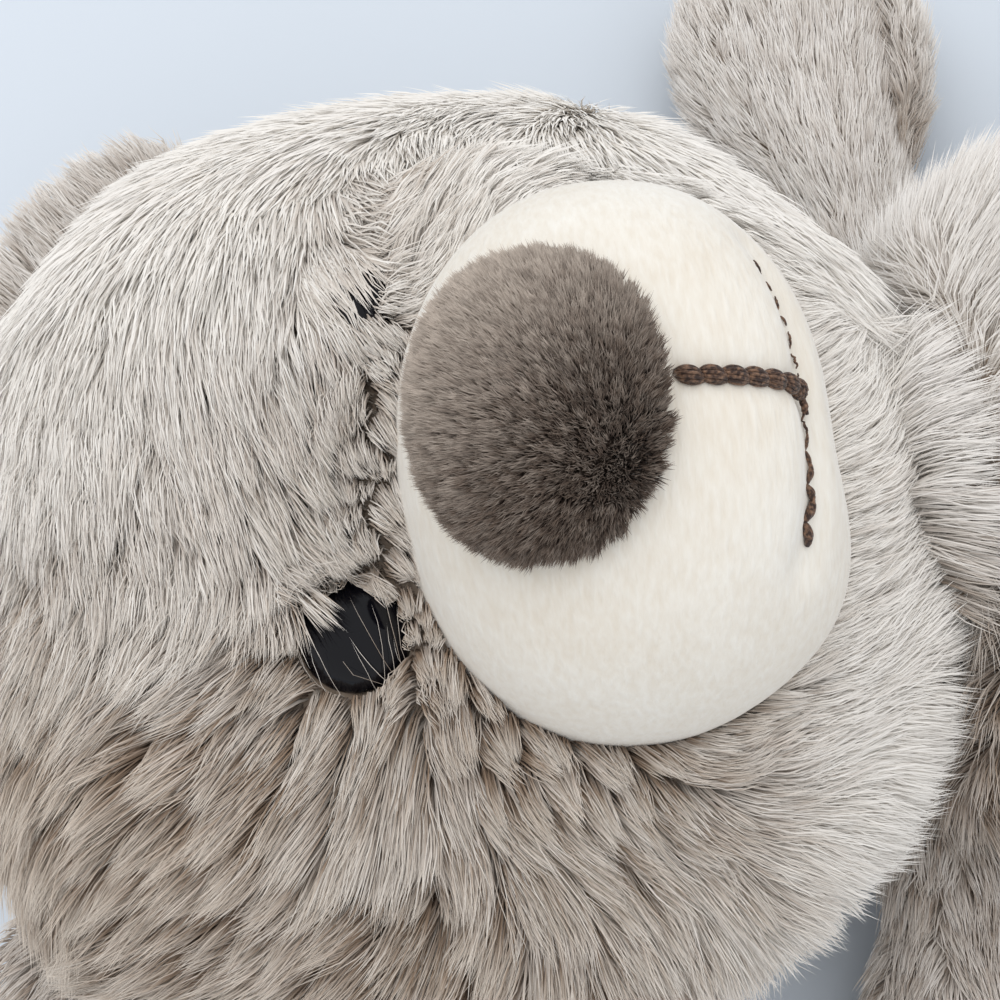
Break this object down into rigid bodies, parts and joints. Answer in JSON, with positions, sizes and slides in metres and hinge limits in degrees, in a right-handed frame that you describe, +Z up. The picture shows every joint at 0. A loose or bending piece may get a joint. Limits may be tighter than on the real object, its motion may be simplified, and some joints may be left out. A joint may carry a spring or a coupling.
{
  "type": "plush bear rattle",
  "caption": "Soft long-haired plush bear lying on its back, with a big round head, short-pile muzzle and nose, glossy eyes and a rattle capsule in its belly.",
  "frame": {"origin": "on the surface the toy lies on, under the middle of its length and width", "axes": "+X from crown to feet, +Y to the bear's left side, +Z up from its back to its face"},
  "size_m": [0.2724, 0.2218, 0.1172],
  "materials": {
    "fur": "long grey-beige pile",
    "stuffing": "white fibre fill",
    "cream_plush": "short cream pile",
    "brown_plush": "short brown pile",
    "thread": "dark brown yarn",
    "eye": "black gloss",
    "natural_plastic": "uncoloured moulding",
    "bead": "smooth"
  },
  "bodies": {
    "torso": {"body_cover": "fur", "body_filling_front": "stuffing", "body_filling_back": "stuffing", "rattle_capsule_base": "natural_plastic", "rattle_capsule_cap": "natural_plastic"},
    "neck": {"neck_filling": "stuffing"},
    "head": {"head_cover": "fur", "head_filling": "stuffing", "muzzle_cover": "cream_plush", "nose_cover": "brown_plush", "nose_filling": "stuffing", "philtrum_stitches": "thread", "mouth_stitches": "thread", "left_eye": "eye", "left_eye_washer": "natural_plastic", "right_eye": "eye", "right_eye_washer": "natural_plastic"},
    "left_ear": {"left_ear_front": "fur", "left_ear_back": "fur"},
    "left_arm": {"left_arm_cover": "fur", "left_arm_filling": "stuffing"},
    "left_leg": {"left_leg_cover": "fur", "left_leg_filling": "stuffing", "left_sole": "cream_plush"},
    "right_ear": {"right_ear_front": "fur", "right_ear_back": "fur"},
    "right_arm": {"right_arm_cover": "fur", "right_arm_filling": "stuffing"},
    "right_leg": {"right_leg_cover": "fur", "right_leg_filling": "stuffing", "right_sole": "cream_plush"},
    "bead_1": {"rattle_bead_1": "bead"},
    "bead_2": {"rattle_bead_2": "bead"},
    "bead_3": {"rattle_bead_3": "bead"},
    "bead_4": {"rattle_bead_4": "bead"}
  },
  "joints": [
    {"name": "head_turn", "type": "hinge", "parent": "torso", "child": "neck", "pos_m": [-0.00845, 0, 0.038], "axis": [1, 0, 0], "range_deg": [-8, 8], "stiffness_Nm_per_rad": 0.05},
    {"name": "head_nod", "type": "hinge", "parent": "neck", "child": "head", "pos_m": [-0.00845, 0, 0.038], "axis": [0, 1, 0], "range_deg": [0, 16]},
    {"name": "left_ear_fold", "type": "hinge", "parent": "head", "child": "left_ear", "pos_m": [-0.11257, 0.05123, 0.031], "axis": [0.7431, 0.6691, 0], "range_deg": [-15, 30], "stiffness_Nm_per_rad": 0.02},
    {"name": "right_ear_fold", "type": "hinge", "parent": "head", "child": "right_ear", "pos_m": [-0.11257, -0.05123, 0.031], "axis": [-0.7431, 0.6691, 0], "range_deg": [-15, 30], "stiffness_Nm_per_rad": 0.02},
    {"name": "left_arm_lift", "type": "hinge", "parent": "torso", "child": "left_arm", "pos_m": [0.00105, 0.042, 0.02], "axis": [0.9986, 0.0523, 0], "range_deg": [0, 25]},
    {"name": "right_arm_lift", "type": "hinge", "parent": "torso", "child": "right_arm", "pos_m": [0.00105, -0.042, 0.02], "axis": [-0.9986, 0.0523, 0], "range_deg": [0, 25]},
    {"name": "left_leg_lift", "type": "hinge", "parent": "torso", "child": "left_leg", "pos_m": [0.08255, 0.031, 0.0215], "axis": [0.1392, -0.9903, 0], "range_deg": [0, 25]},
    {"name": "right_leg_lift", "type": "hinge", "parent": "torso", "child": "right_leg", "pos_m": [0.08255, -0.031, 0.0215], "axis": [-0.1392, -0.9903, 0], "range_deg": [0, 25]},
    {"name": "bead_1_rattle", "type": "slide", "parent": "torso", "child": "bead_1", "axis": [0, 0, 1], "range_m": [0, 0.02]},
    {"name": "bead_2_rattle", "type": "slide", "parent": "torso", "child": "bead_2", "axis": [0, 0, 1], "range_m": [0, 0.02]},
    {"name": "bead_3_rattle", "type": "slide", "parent": "torso", "child": "bead_3", "axis": [0, 0, 1], "range_m": [0, 0.02]},
    {"name": "bead_4_rattle", "type": "slide", "parent": "torso", "child": "bead_4", "axis": [0, 0, 1], "range_m": [0, 0.02]}
  ]
}
